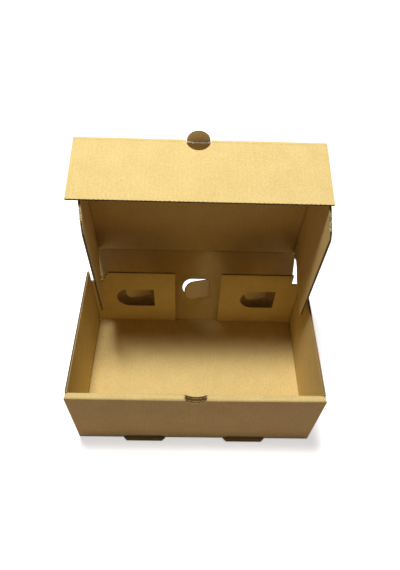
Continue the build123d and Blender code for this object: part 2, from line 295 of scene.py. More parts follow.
def add_mix(nodes, links, factor, first, second):
    """Mix two colours, each a colour or a socket."""
    mix = nodes.new("ShaderNodeMix")
    mix.data_type = "RGBA"
    links.new(factor, mix.inputs["Factor"])
    for socket, colour in ((mix.inputs["A"], first), (mix.inputs["B"], second)):
        if isinstance(colour, tuple):
            socket.default_value = (*colour, 1)
        else:
            links.new(colour, socket)
    return mix.outputs["Result"]


def add_specks(nodes, links, source, scale, size):
    """Sparse round specks: 1 in a speck and 0 elsewhere."""
    cells = nodes.new("ShaderNodeTexVoronoi")
    cells.inputs["Scale"].default_value = scale
    links.new(source, cells.inputs["Vector"])
    return add_range(nodes, links, cells.outputs["Distance"], size, size * 0.5)


def add_stripes(nodes, links):
    """Faint stripes over the flutes, from the UV map's first coordinate."""
    uv = nodes.new("ShaderNodeUVMap")
    uv.uv_map = "board"
    split = nodes.new("ShaderNodeSeparateXYZ")
    phase = nodes.new("ShaderNodeMath")
    phase.operation = "MULTIPLY"
    phase.inputs[1].default_value = 2 * math.pi / FLUTE_PITCH
    wave = nodes.new("ShaderNodeMath")
    wave.operation = "COSINE"
    links.new(uv.outputs["UV"], split.inputs["Vector"])
    links.new(split.outputs["X"], phase.inputs[0])
    links.new(phase.outputs[0], wave.inputs[0])
    return wave.outputs[0]


def add_bump(nodes, links, height, depth, strength, before=None):
    """Bump that a height makes, on top of another bump if there is one."""
    bump = nodes.new("ShaderNodeBump")
    bump.inputs["Distance"].default_value = depth
    bump.inputs["Strength"].default_value = strength
    links.new(height, bump.inputs["Height"])
    if before is not None:
        links.new(before, bump.inputs["Normal"])
    return bump.outputs["Normal"]


print("a stripe every", round(FLUTE_PITCH / MM, 2), "mm")

# %% [markdown]
# The liner's tone is one number for each point: some cloud, more mottle and some fibre. It
# mixes the clean colour with the deep one, and specks go on top. The fibres also raise the
# surface a little, and so do the stripes.

# %% Mix the kraft liner
KRAFT = (0.835, 0.645, 0.274)       # linear colour of the clean liner
KRAFT_DEEP = (0.580, 0.412, 0.148)
SPECK_DARK = (0.20, 0.11, 0.045)
SPECK_PALE = (0.80, 0.66, 0.40)
CLOUDS, MOTTLE, FIBRES = 40, 760, 1500          # features to a metre
DARK_SPECKS, PALE_SPECKS = 300, 420
CLOUD_SHARE, MOTTLE_SHARE, FIBRE_SHARE = 0.16, 0.56, 0.35
FIBRE_DEPTH, STRIPE_DEPTH = 0.15 * MM, 0.04 * MM


def paper(name, clean, deep, stripes):
    """Kraft paper between two colours, with or without the stripes of the flutes."""
    material, nodes, links, shader = new_material(name)
    place = nodes.new("ShaderNodeTexCoord").outputs["Object"]
    clouds = add_noise(nodes, links, place, CLOUDS, 3)
    mottle = add_noise(nodes, links, place, MOTTLE, 4, (0.6, 1, 1))
    fibres = add_noise(nodes, links, place, FIBRES, 3, (1, 1, 0.45))
    soft = add_range(nodes, links, clouds, 0.30, 0.70, 0.0, CLOUD_SHARE)
    fine = add_range(nodes, links, mottle, 0.30, 0.70, 0.0, MOTTLE_SHARE)
    tone = add_sum(nodes, links, soft, add_sum(nodes, links, fine, fibres, FIBRE_SHARE), 1.0)
    colour = add_mix(nodes, links, tone, clean, deep)
    dark = add_specks(nodes, links, place, DARK_SPECKS, 0.10)
    colour = add_mix(nodes, links, add_range(nodes, links, dark, 0, 1, 0, 0.5), colour, SPECK_DARK)
    pale = add_specks(nodes, links, place, PALE_SPECKS, 0.13)
    colour = add_mix(nodes, links, add_range(nodes, links, pale, 0, 1, 0, 0.4), colour, SPECK_PALE)
    normal = add_bump(nodes, links, fibres, FIBRE_DEPTH, 0.5)
    if stripes:
        # The stripes darken the colour a little as painted shade of the ripples over the flutes; the bump raises
        # the same ripples.
        wave = add_stripes(nodes, links)
        shade = add_range(nodes, links, wave, -1, 1, 0.0, 0.10)
        colour = add_mix(nodes, links, shade, colour, deep)
        normal = add_bump(nodes, links, wave, STRIPE_DEPTH, 0.6, normal)
    links.new(colour, shader.inputs["Base Color"])
    links.new(normal, shader.inputs["Normal"])
    links.new(add_range(nodes, links, clouds, 0, 1, 0.80, 0.95), shader.inputs["Roughness"])
    shader.inputs["Specular IOR Level"].default_value = 0.22
    return material


liner = paper("kraft_liner", KRAFT, KRAFT_DEEP, True)
print("liner has", len(liner.node_tree.nodes), "nodes")

# %% [markdown]
# The sheet inside the board is a paper coloured much darker than the liner. A cut edge is
# darker too: the knife crushes it, and its colour is darkened further as painted shade. A
# crease is pressed, and its paper is darkened further as painted shade in the groove. The
# thumb tab and the tongues are paler: handling rubs them, and the rest is painted light that
# they catch. Torn paper shows pale fibres, painted paler still as light that the slivers
# catch. All of them are the same recipe with other colours.

# %% Mix the other papers
fluting = paper("fluting_medium", (0.260, 0.175, 0.075), (0.180, 0.115, 0.048), False)
# Cut edge: crushed by the knife, and darkened further as painted shade.
crushed_and_shaded_edge = paper("crushed_and_shaded_edge", (0.540, 0.390, 0.185), (0.370, 0.250, 0.110), False)
# Crease paper: pressed, and darkened further as painted shade in the groove.
pressed_and_shaded = paper("pressed_and_shaded_crease", (0.520, 0.350, 0.130), (0.380, 0.240, 0.080), False)
# Paler liner for the thumb tab and the tongues: partly rubbed by handling, partly painted light that they catch.
rubbed_and_lit = paper("rubbed_and_lit_liner", (0.900, 0.740, 0.460), (0.760, 0.570, 0.300), True)
# Torn fibres: pale, and painted paler still as light that the slivers catch.
torn_and_lit_paper = paper("torn_and_lit_paper", (0.920, 0.820, 0.600), (0.760, 0.620, 0.380), False)
FINISHES = [liner, fluting, crushed_and_shaded_edge, pressed_and_shaded, rubbed_and_lit]
LINER, FLUTING, SHADED_EDGE_PAPER, PRESSED_AND_SHADED, RUBBED_AND_LIT = range(len(FINISHES))
print([finish.name for finish in FINISHES])

# %% [markdown]
# ## The flutes
# Corrugated board is two flat liners with a waved sheet glued between them. What the eye
# sees at a cut edge is the air: a row of pockets, by turns under and over the wave. So the
# quickest true way to make the board is to carve that air out of the solid.
#
# One pocket repeats all along a panel, which is what Geometry Nodes are for. Three helpers
# come first. They add one sum, name a tree's inputs, and end a tree with real copies that
# have their paper.

# %% Write the helpers of a tree
LINER_THICK = 0.42 * MM
MEDIUM_THICK = 0.34 * MM
CREST = BOARD / 2 - LINER_THICK     # from the middle of the board to a liner's inner face
SWING = CREST - MEDIUM_THICK / 2    # how far the wave swings from the middle
PINCH = 0.42 * MM                   # glue line where a pocket closes
POCKET_STEPS = 9                    # points across a pocket


def math_node(nodes, links, operation, first, second=None):
    """One sum in a Geometry Nodes tree; each input is a number or a socket."""
    node = nodes.new("ShaderNodeMath")
    node.operation = operation
    for socket, value in zip(node.inputs, (first, second)):
        if value is None:
            continue
        if isinstance(value, (int, float)):
            socket.default_value = value
        else:
            links.new(value, socket)
    return node.outputs[0]


def add_inputs(tree, whole_numbers, lengths):
    """Give a tree its named inputs, the paper it sets and its output."""
    for names, kind in ((whole_numbers, "Int"), (lengths, "Float"), (("Paper",), "Material")):
        for name in names:
            tree.interface.new_socket(name, in_out="INPUT", socket_type="NodeSocket" + kind)
    tree.interface.new_socket("Geometry", in_out="OUTPUT", socket_type="NodeSocketGeometry")


def close_tree(tree, copies, paper_socket):
    """End a tree: real copies that have their paper."""
    nodes, links = tree.nodes, tree.links
    real = nodes.new("GeometryNodeRealizeInstances")
    links.new(copies, real.inputs[0])
    finish = nodes.new("GeometryNodeSetMaterial")
    links.new(real.outputs[0], finish.inputs["Geometry"])
    links.new(paper_socket, finish.inputs["Material"])
    links.new(finish.outputs[0], nodes.new("NodeGroupOutput").inputs[0])


print("board:", [round(value / MM, 2) for value in (LINER_THICK, MEDIUM_THICK, SWING)], "mm")

# %% [markdown]
# The tree bends a thin block to the wave's shape, puts a copy at every half pitch, and turns
# every second copy over.

# %% Build the tree that makes the air of a panel
def flute_air_tree():
    """Rows of air pockets along X, each running along Y."""
    tree = bpy.data.node_groups.new("flute_air", "GeometryNodeTree")
    add_inputs(tree, ("Pockets",), ("Pitch", "Length", "Crest", "Swing", "Medium", "Pinch"))
    nodes, links = tree.nodes, tree.links
    given = nodes.new("NodeGroupInput").outputs
    block = nodes.new("GeometryNodeMeshCube")
    block.inputs["Vertices X"].default_value = POCKET_STEPS
    corner = nodes.new("GeometryNodeInputPosition").outputs[0]
    split = nodes.new("ShaderNodeSeparateXYZ")
    links.new(corner, split.inputs[0])
    width = math_node(nodes, links, "SUBTRACT", given["Pitch"],
                      math_node(nodes, links, "MULTIPLY", given["Pinch"], 2.0))
    across = math_node(nodes, links, "MULTIPLY", split.outputs["X"], width)
    turn = math_node(nodes, links, "MULTIPLY", 2 * math.pi,
                     math_node(nodes, links, "DIVIDE", across, given["Pitch"]))
    trough = math_node(nodes, links, "MULTIPLY", given["Swing"], math_node(nodes, links, "COSINE", turn))
    low = math_node(nodes, links, "SUBTRACT",
                    math_node(nodes, links, "MULTIPLY", given["Medium"], 0.5), trough)
    top = math_node(nodes, links, "GREATER_THAN", split.outputs["Z"], 0.0)
    height = nodes.new("ShaderNodeMix")
    links.new(top, height.inputs[0])
    links.new(low, height.inputs[2])
    links.new(given["Crest"], height.inputs[3])
    along = math_node(nodes, links, "MULTIPLY", given["Length"],
                      math_node(nodes, links, "ADD", split.outputs["Y"], 0.5))
    join = nodes.new("ShaderNodeCombineXYZ")
    for axis, value in zip("XYZ", (across, along, height.outputs[0])):
        links.new(value, join.inputs[axis])
    bend = nodes.new("GeometryNodeSetPosition")
    links.new(block.outputs["Mesh"], bend.inputs["Geometry"])
    links.new(join.outputs[0], bend.inputs["Position"])
    row = nodes.new("GeometryNodeMeshLine")
    step = nodes.new("ShaderNodeCombineXYZ")
    links.new(math_node(nodes, links, "DIVIDE", given["Pitch"], 2.0), step.inputs["X"])
    links.new(given["Pockets"], row.inputs["Count"])
    links.new(step.outputs[0], row.inputs["Offset"])
    odd = math_node(nodes, links, "MODULO", nodes.new("GeometryNodeInputIndex").outputs[0], 2.0)
    over = nodes.new("ShaderNodeCombineXYZ")
    links.new(math_node(nodes, links, "MULTIPLY", odd, math.pi), over.inputs["Y"])
    copies = nodes.new("GeometryNodeInstanceOnPoints")
    links.new(row.outputs["Mesh"], copies.inputs["Points"])
    links.new(bend.outputs["Geometry"], copies.inputs["Instance"])
    links.new(over.outputs[0], copies.inputs["Rotation"])
    close_tree(tree, copies.outputs[0], given["Paper"])
    return tree


air_tree = flute_air_tree()
print("tree inputs", [item.name for item in air_tree.interface.items_tree])

# %% [markdown]
# ## The panels
# Each flat stretch of board is described once: its middle, the direction across the flutes,
# the direction along them, and how far it reaches both ways. The flutes run from front to
# back over the whole sheet before it is folded, so they stand upright in the front and back
# walls and lie level in the side walls and in the flaps that turn off them.
#
# A pocket that no cut edge opens can't be seen, so the floor gets none, and the pockets stop
# short of each fold, where the real flutes are crushed flat.

# %% Say what a panel is
EDGE = 2.0 * MM                     # how far the air runs past a cut edge
FOLD_STOP = 4.0 * MM                # how far it stops short of a fold

tray_low, tray_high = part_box("base_tray")
flap_low, flap_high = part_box("lid_front_flap")
side_middle = tray_high.x - BOARD / 2
side_inner = tray_high.x - BOARD
front_face = -(wall_crease.y + BOARD / 2)
rear_flap_y = wall_crease.y - BOARD - PLY_GAP
inner_ply_y = front_face + 2.5 * BOARD + 2 * PLY_GAP
panel_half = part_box("back_wall")[1].x
lid_fold = panel_half - BOARD / 2
NOTCH_DROP = 23.0 * MM
REAR_FLAP_ENDS = (-35.0 * MM, 40.0 * MM)
LOCK_SPAN = (44.0 * MM, 108.0 * MM)
FLAP_DEPTH = 131.0 * MM
FLAP_FRONT = 210.3 * MM
TAB_MIDDLE = -3.0 * MM
TAB_RADIUS = 15.6 * MM
TONGUE_SIZE = (45.0 * MM, 32.0 * MM)


class Panel:
    """A flat stretch of board: its middle plane, its flutes and its reach."""

    def __init__(self, origin, across, along, reach_across, reach_along, hollow=True, skin=LINER):
        self.origin = origin
        self.hollow, self.skin = hollow, skin
        self.across, self.along = across.normalized(), along.normalized()
        self.normal = self.across.cross(self.along)
        self.reach_across, self.reach_along = reach_across, reach_along

    def matrix(self):
        """From the panel's own axes, at its first corner, to the frame."""
        start = self.point(self.reach_across[0], self.reach_along[0])
        turn = Matrix((self.across, self.along, self.normal)).transposed().to_4x4()
        return Matrix.Translation(start) @ turn

    def point(self, across, along):
        """A point of the middle plane."""
        return self.origin + self.across * across + self.along * along

    def local(self, place):
        """Across, along and off the middle plane."""
        offset = place - self.origin
        return offset.dot(self.across), offset.dot(self.along), offset.dot(self.normal)


print("front wall's inner ply at y", round(inner_ply_y, 4))

# %% [markdown]
# The tray has the most panels: its rims, its two rear flaps, both plies of the rolled front
# wall and the lock lips that come out under it. The back wall is one panel.

# %% Describe the tray and the back wall
def tray_panels():
    """Side wall rims, rear flaps, both plies of the front wall, and the lock lips."""
    panels = []
    rim = (tray_high.z - NOTCH_DROP, tray_high.z + EDGE)
    rim_length = (inner_ply_y + BOARD, rear_flap_y + BOARD / 2 + EDGE)
    low_wall = (BOARD, tray_high.z - NOTCH_DROP)
    rear = Vector((0, rear_flap_y, 0))
    floor_plane = Vector((0, 0, BOARD / 2))
    lip_length = (tray_low.y - EDGE, front_face + EDGE)
    for side, free_end in zip((-1, 1), REAR_FLAP_ENDS):
        wall_plane = Vector((side * side_middle, 0, 0))
        panels.append(Panel(wall_plane, UP, BACKWARD, rim, rim_length))
        span = sorted((free_end - side * EDGE, side * (side_inner - FOLD_STOP)))
        panels.append(Panel(rear, UP, RIGHT, (BOARD, tray_high.z + EDGE), span))
        lip = sorted(side * x for x in LOCK_SPAN)
        panels.append(Panel(floor_plane, RIGHT, BACKWARD, (lip[0] - EDGE, lip[1] + EDGE), lip_length))
        panels.append(Panel(wall_plane, UP, BACKWARD, low_wall, rim_length, hollow=False))
    wide = (-tray_high.x - EDGE, tray_high.x + EDGE)
    floor_span = (inner_ply_y, wall_crease.y)
    panels.append(Panel(floor_plane, RIGHT, BACKWARD, wide, floor_span, hollow=False))
    tall = (1.5 * BOARD, tray_high.z - FOLD_STOP)
    for y in (front_face + BOARD / 2, inner_ply_y):
        panels.append(Panel(Vector((0, y, 0)), RIGHT, UP, wide, tall))
    return panels


def wall_panels():
    """The back wall."""
    span = (-panel_half - EDGE, panel_half + EDGE)
    return [Panel(wall_crease, RIGHT, wall_up, span, (FOLD_STOP, wall_height - FOLD_STOP))]


PANELS = {"base_tray": tray_panels(), "back_wall": wall_panels()}
print({node: len(panels) for node, panels in PANELS.items()})

# %% [markdown]
# The lid has two side flaps that hang from it, and its thumb tab stands out past the crease
# of the front flap. Each tongue is a small panel that its own joint says how to bend.

# %% Describe the lid, its front flap and the tongues
def tongue_panels(name):
    """One push-in tongue, bent into the box from flush by its own joint's range."""
    joint = joints[name + "_hinge"]
    up = Vector(joint["axis"])
    bend = math.radians(-joint["range_deg"][0])
    to_tip = Matrix.Rotation(bend, 3, up) @ -RIGHT
    width, height = TONGUE_SIZE
    middle = Vector(joint["pos_m"])
    reach = [(Vector(v.co) - middle).dot(up) for v in frame["nodes"][name].data.vertices]
    span = (min(reach) - EDGE, max(reach) + EDGE)
    # The tongue's paler liner is partly rubbed by handling and partly painted light that it catches.
    return [Panel(middle, to_tip, up, (BOARD, width + EDGE), span, skin=RUBBED_AND_LIT)]


def lid_panels():
    """The lid's side flaps, the free ends of its panel, and its thumb tab."""
    panels = []
    flutes = (-EDGE, FLAP_FRONT + EDGE)
    deep = (BOARD, FLAP_DEPTH + EDGE)
    for side, swing in SWINGS.items():
        down = Matrix.Rotation(-side * swing, 3, lid_out) @ lid_down
        panels.append(Panel(lid_crease + RIGHT * side * lid_fold, down, lid_out, deep, flutes))
        ends = sorted((side * (lid_fold + EDGE), side * (lid_fold - 2 * FLUTE_PITCH)))
        short = (FLAP_FRONT, lid_length - FOLD_STOP)
        panels.append(Panel(lid_crease, RIGHT, lid_out, ends, short))
    tab = (TAB_MIDDLE - TAB_RADIUS - EDGE, TAB_MIDDLE + TAB_RADIUS + EDGE)
    beyond = (lid_length - BOARD / 2, lid_length + TAB_RADIUS + EDGE)
    # The thumb tab's paler liner is partly rubbed by handling and partly painted light that it catches.
    panels.append(Panel(lid_crease, RIGHT, lid_out, tab, beyond, skin=RUBBED_AND_LIT))
    whole = (-panel_half, panel_half)
    panels.append(Panel(lid_crease, RIGHT, lid_out, whole, (0, lid_length), hollow=False))
    return panels


def flap_panels():
    """The lid's front flap."""
    span = (flap_low.x - EDGE, flap_high.x + EDGE)
    length = max((Vector(v.co) - flap_crease).dot(flap_out)
                 for v in frame["nodes"]["lid_front_flap"].data.vertices)
    return [Panel(flap_crease, RIGHT, flap_out, span, (FOLD_STOP, length + EDGE))]


PANELS["lid"] = lid_panels()
PANELS["lid_front_flap"] = flap_panels()
for tongue in ("tongue_left", "tongue_centre", "tongue_right"):
    PANELS[tongue] = tongue_panels(tongue)
print({node: len(panels) for node, panels in PANELS.items()})

# %% [markdown]
# A fold starts as a line pressed into the flat sheet, and inside the corner that line stays
# as a narrow groove, dark with shade, and its paper is darkened further as painted shade.
# Each groove is a line from one point to another, to be carved with a thin rod along with
# the air.

# %% List the pressed creases
def tray_creases():
    """Both floor corners and both rear corners of the tray."""
    lines = []
    for side in (-1, 1):
        x = side * side_inner
        front, back = inner_ply_y + BOARD / 2, rear_flap_y - BOARD / 2
        lines.append((Vector((x, front, BOARD)), Vector((x, back - BOARD / 2, BOARD))))
        top = tray_high.z - NOTCH_DROP - PLY_GAP
        lines.append((Vector((x, back, 2 * BOARD)), Vector((x, back, top))))
    return lines


def lid_creases():
    """The inner corner of each side flap, and the fold line under the thumb tab."""
    inside = lid_down * (BOARD / 2)
    lines = []
    for side in (-1, 1):
        root = lid_crease + RIGHT * side * (lid_fold - BOARD / 2) + inside
        lines.append((root, root + lid_out * FLAP_FRONT))
    fold = flap_crease + inside
    lines.append((fold + RIGHT * (TAB_MIDDLE - TAB_RADIUS), fold + RIGHT * (TAB_MIDDLE + TAB_RADIUS)))
    return lines


CREASES = {"base_tray": tray_creases(), "lid": lid_creases()}
SCORES = {"lid": [(flap_crease, lid_out)]}      # planes that part one finish from the next
print({node: len(lines) for node, lines in CREASES.items()})

# %% [markdown]
# ## Worn outlines
# A box that has been used has lost small bits of board where its corners catch, and the
# liner of a free edge is nibbled back where it spans a pocket with nothing under it. Each
# bite is a short rod through the board, placed at the outline. The nibbles go through the
# outer liner alone, one to a flute, so the edge looks finely scalloped.

# %% List the bites
NIBBLE = 1.9 * MM                   # radius of a nibble
NIBBLE_OUT = 1.1 * MM               # how far its middle lies past the edge
NOTCH_BITES = ((-155.8, 120.0, 1.2), (-153.4, 124.2, 1.6), (-151.0, 129.0, 1.4), (-148.0, 133.6, 1.3))
LEFT_BITES = ((104.0, 200.2, 1.4), (110.0, 198.4, 2.4), (116.5, 195.8, 1.5))
RIGHT_BITES = ((103.0, 200.6, 1.2), (112.0, 197.6, 2.6), (118.0, 195.4, 1.4))
left_flap, right_flap = PANELS["lid"][0], PANELS["lid"][2]


def bite(place, normal, radius):
    """Two ends and the radius of a rod through the board."""
    return place - normal * BOARD, place + normal * BOARD, radius * MM


def flap_bites(flap, bites):
    """Bites of a side flap; each is its depth, its place along the flap and its radius in mm."""
    return [bite(flap.point(down * MM, out * MM), flap.normal, radius) for down, out, radius in bites]


def nibbles(flap):
    """Nibbles through the outer liner of a flap's free edge, over every pocket that it roofs."""
    through = flap.normal * (BOARD / 2 + LINER_THICK)
    rods = []
    for pocket in range(int((flap_high.x - flap_low.x) / FLUTE_PITCH)):
        x = flap.reach_across[0] + (pocket + 0.5) * FLUTE_PITCH
        outside = flap.point(x, flap.reach_along[1] - EDGE + NIBBLE_OUT) - flap.normal * BOARD
        rods.append((outside, outside + through, NIBBLE))
    return rods


BITES = {"base_tray": [bite(Vector((x * MM, rear_flap_y, z * MM)), BACKWARD, radius)
                       for x, z, radius in NOTCH_BITES],
         "lid": flap_bites(left_flap, LEFT_BITES) + flap_bites(right_flap, RIGHT_BITES),
         "lid_front_flap": nibbles(PANELS["lid_front_flap"][0])}
print({node: len(rods) for node, rods in BITES.items()})

# %% [markdown]
# ## Carving the air
# Each solid is copied, its loose triangles are joined into a closed mesh, and the air of all
# its panels is taken away with one Boolean. The Manifold solver is made for closed meshes
# and takes thousands of faces in its stride. The carved copy stands in for the solid, which
# stays in the file for collision.

# %% Make the air of one panel
def as_object(name, mesh):
    """An object at the origin that holds a mesh."""
    made = bpy.data.objects.new(name, mesh)
    bpy.context.scene.collection.objects.link(made)
    return made


def baked(source, name):
    """The mesh of an object with its modifiers worked in."""
    bpy.context.view_layer.update()
    graph = bpy.context.evaluated_depsgraph_get()
    mesh = bpy.data.meshes.new_from_object(source.evaluated_get(graph))
    mesh.name = name
    return mesh


def panel_air(panel, name):
    """The air pockets of one panel, in place."""
    length = panel.reach_along[1] - panel.reach_along[0]
    width = panel.reach_across[1] - panel.reach_across[0]
    holder = as_object(name, bpy.data.meshes.new(name))
    modifier = holder.modifiers.new("air", "NODES")
    modifier.node_group = air_tree
    pockets = int(width / (FLUTE_PITCH / 2)) + 1
    sizes = {"Pockets": pockets, "Pitch": FLUTE_PITCH, "Length": length, "Crest": CREST,
             "Swing": SWING, "Medium": MEDIUM_THICK, "Pinch": PINCH, "Paper": fluting}
    for item in air_tree.interface.items_tree:
        if item.in_out == "INPUT":
            modifier[item.identifier] = sizes[item.name]
    mesh = baked(holder, name)
    bpy.data.objects.remove(holder)
    mesh.transform(panel.matrix())
    for face in mesh.polygons:
        face.material_index = FLUTING
    return mesh


trial = panel_air(PANELS["lid_front_flap"][0], "trial")
print("front flap air", len(trial.polygons), "faces")
bpy.data.meshes.remove(trial)

# %% [markdown]
# The air, the crease rods and the bites of a solid go into one mesh, and every face of it
# carries the paper that it will leave behind: fluting in a pocket, pressed paper darkened as
# painted shade in a crease, and cut edge darkened as painted shade in a bite. The Boolean
# keeps those papers on the faces that it makes.

# %% Carve the boards
CREASE_RADIUS = 0.7 * MM
CREASE_SIDES, BITE_SIDES = 10, 5


def closed_copy(node):
    """The node's triangles joined into one closed mesh."""
    mesh = frame["nodes"][node].data.copy()
    mesh.materials.clear()
    work = bmesh.new()
    work.from_mesh(mesh)
    bmesh.ops.remove_doubles(work, verts=work.verts, dist=0.001 * MM)
    for place, normal in SCORES.get(node, []):
        parts = work.verts[:] + work.edges[:] + work.faces[:]
        bmesh.ops.bisect_plane(work, geom=parts, plane_co=place, plane_no=normal)
    open_edges = sum(1 for edge in work.edges if not edge.is_manifold)
    work.to_mesh(mesh)
    work.free()
    print(node, "open edges", open_edges)
    return mesh


def add_rod(work, start, end, radius, paper_index, sides):
    """Add a thin rod to a mesh under construction."""
    line = end - start
    turn = line.to_track_quat("Z", "X").to_matrix().to_4x4()
    place = Matrix.Translation((start + end) / 2) @ turn
    made = bmesh.ops.create_cone(work, cap_ends=True, segments=sides, radius1=radius,
                                 radius2=radius, depth=line.length, matrix=place)
    for face in {face for vert in made["verts"] for face in vert.link_faces}:
        face.material_index = paper_index


def joined_air(node, name):
    """The air of a node's panels and the rods of its creases in one mesh."""
    work = bmesh.new()
    for panel in PANELS[node]:
        if panel.hollow:
            mesh = panel_air(panel, name)
            work.from_mesh(mesh)
            bpy.data.meshes.remove(mesh)
    for start, end in CREASES.get(node, []):
        # The crease rods carry the darkened pressed paper: painted shade in the groove.
        add_rod(work, start, end, CREASE_RADIUS, PRESSED_AND_SHADED, CREASE_SIDES)
    for start, end, radius in BITES.get(node, []):
        # The bites carry the darkened cut edge paper: partly crushed paper, partly painted shade.
        add_rod(work, start, end, radius, SHADED_EDGE_PAPER, BITE_SIDES)
    joined = bpy.data.meshes.new(name)
    work.to_mesh(joined)
    work.free()
    for finish in FINISHES:
        joined.materials.append(finish)
    return joined


def carve(node):
    """The node's board with its air taken out."""
    mesh = closed_copy(node)
    for finish in FINISHES:
        mesh.materials.append(finish)
    for face in mesh.polygons:
        face.material_index = LINER
    board = as_object(node + "_board", mesh)
    air = as_object(node + "_air", joined_air(node, node + "_air"))
    cut = board.modifiers.new("air", "BOOLEAN")
    cut.operation = "DIFFERENCE"
    cut.solver = "MANIFOLD"
    cut.object = air
    mesh = baked(board, node + "_board")
    for held in (board, air):
        bpy.data.objects.remove(held)
    carved = as_object(node + "_board", mesh)
    print(node, "carved to", len(mesh.polygons), "faces")
    return carved


boards = {node: carve(node) for node in PANELS}

# %% [markdown]
# ## Which paper is which
# After the cut the pockets, creases and bites have their papers already. Of the rest, a face
# that lies inside the board's thickness is a cut edge, and a face at the board's surface is
# liner, or the paler liner on the thumb tab and the tongues, partly rubbed and partly painted
# light. The liner also gets its UV map here, in metres across and along the flutes, so that
# the stripes line up with the carved flutes.

# %% Sort the faces and lay out the stripes
SKIN = 0.08 * MM                    # nearer to the surface than this is on it
SLACK = 1.5 * MM                    # how far past its reach a panel still counts
FLAT_ON = 0.7                       # a face whose normal agrees this well isn't a cut edge


def covers(panel, place):
    """Whether a place is over this panel, give or take a little."""
    across, along, off = panel.local(place)
    if abs(off) > BOARD / 2 + SKIN:
        return False
    a_ok = panel.reach_across[0] - SLACK < across < panel.reach_across[1] + SLACK
    b_ok = panel.reach_along[0] - SLACK < along < panel.reach_along[1] + SLACK
    return a_ok and b_ok


def sort_faces(board, panels):
    """Give each face its paper, and the liner its UV map."""
    mesh = board.data
    layer = mesh.uv_layers.new(name="board")
    for face in mesh.polygons:
        if face.material_index != LINER:
            continue
        under = [p for p in panels if covers(p, face.center)]
        if not under:
            continue
        best = max(under, key=lambda p: abs(p.normal.dot(face.normal)))
        off = abs(best.local(face.center)[2])
        # A face inside the thickness gets the cut edge paper, darkened partly as painted shade.
        if off < BOARD / 2 - SKIN and abs(best.normal.dot(face.normal)) < FLAT_ON:
            face.material_index = SHADED_EDGE_PAPER
        else:
            face.material_index = best.skin
        for loop in face.loop_indices:
            place = mesh.vertices[mesh.loops[loop].vertex_index].co
            across, along, _ = best.local(place)
            layer.data[loop].uv = (across - best.reach_across[0], along)
    counts = [sum(1 for f in mesh.polygons if f.material_index == i) for i in range(len(FINISHES))]
    print(board.name, "liner, fluting, cut edge, crease, rubbed:", counts)


BODY_OF = {node: body for body, nodes in frame["record"]["behaviour"]["bodies"].items()
           for node in nodes}
for node, board in boards.items():
    sort_faces(board, PANELS[node])
    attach(board, BODY_OF[node])
    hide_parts(node)

# %% [markdown]
# ## Creases that turn
# The solids of two panels stop a hair apart so that they can turn. The real sheet runs on
# round the fold. A thin strip of liner on the outside of each fold closes the gap: it lies on
# one panel, goes round the crease and lies on the next.

# %% Wrap a strip of liner round each moving crease
STRIP_CLEAR = 0.03 * MM
STRIP_THICK = 0.15 * MM
STRIP_TAIL = 3.0 * MM
ARC_STEPS = 10


def off_side(away, other):
    """The outer normal of a panel that runs away from a fold, given the other panel."""
    return (away * other.dot(away) - other).normalized()


def strip_section(first, second, tails, radius):
    """Offsets from the crease: along the first panel, round the fold, along the second."""
    start, end = off_side(first, second), off_side(second, first)
    points = [first * tails[0] + start * radius]
    for step in range(ARC_STEPS + 1):
        points.append(start.slerp(end, step / ARC_STEPS) * radius)
    points.append(second * tails[1] + end * radius)
    return points


def crease_strip(name, crease, line, panels, tails, span):
    """A strip of liner bent round the outside of a fold."""
    first, second = panels
    inner_radius = BOARD / 2 + STRIP_CLEAR
    inner = strip_section(first, second, tails, inner_radius)
    outer = strip_section(first, second, tails, inner_radius + STRIP_THICK)
    loop = inner + outer[::-1]
    count = len(loop)
    verts = [crease + line * reach + point for reach in span for point in loop]
    faces = [(i, (i + 1) % count, count + (i + 1) % count, count + i) for i in range(count)]
    faces += [tuple(reversed(range(count))), tuple(range(count, 2 * count))]
    mesh = bpy.data.meshes.new(name)
    mesh.from_pydata(verts, [], faces)
    mesh.materials.append(liner)
    layer = mesh.uv_layers.new(name="board")
    for loop_data in mesh.loops:
        place = mesh.vertices[loop_data.vertex_index].co
        layer.data[loop_data.index].uv = ((place - crease).dot(line) + panel_half + EDGE, 0)
    work = bmesh.new()
    work.from_mesh(mesh)
    bmesh.ops.recalc_face_normals(work, faces=work.faces)
    work.to_mesh(mesh)
    work.free()
    strip = as_object(name, mesh)
    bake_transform(strip)
    return strip


EVEN = (STRIP_TAIL, STRIP_TAIL)
FULL = (-panel_half, panel_half)
flap_half = flap_high.x
tab_gap = TAB_RADIUS + 1.0 * MM
crease_strip("crease_wall", wall_crease, RIGHT, (-BACKWARD, wall_up), EVEN, FULL)
crease_strip("crease_lid", lid_crease, RIGHT, (-wall_up, lid_out), EVEN, FULL)
long_tail = (STRIP_TAIL + BOARD, STRIP_TAIL)
flap_spans = {"left": (-flap_half, TAB_MIDDLE - tab_gap), "right": (TAB_MIDDLE + tab_gap, flap_half)}
for name, span in flap_spans.items():
    crease_strip("crease_front_flap_" + name, flap_crease, RIGHT,
                 (-lid_out, flap_out), long_tail, span)
for tongue in ("tongue_left", "tongue_centre", "tongue_right"):
    panel = PANELS[tongue][0]
    low, high = panel.reach_along
    crease_strip("crease_" + tongue, panel.origin, panel.along,
                 (RIGHT, panel.across), EVEN, (low + EDGE, high - EDGE))
print("strips made")

# %% [markdown]
# ## Torn paper
# Corners that catch on things tear, and torn board shows pale fibres from inside the liner; their paper is painted
# paler still, as light that the slivers catch.
# A tuft is many small slivers along a line, each a little different: again a job for
# Geometry Nodes, with a fixed seed so that the tuft is the same every time.

# %% Build the tree that makes a tuft
def random_float(nodes, links, seed, number, low, high):
    """A random value for each point; the number keeps one property apart from another."""
    value = nodes.new("FunctionNodeRandomValue")
    value.data_type = "FLOAT"
    value.inputs[2].default_value = low
    value.inputs[3].default_value = high
    links.new(math_node(nodes, links, "ADD", seed, number), value.inputs["Seed"])
    return value.outputs[1]


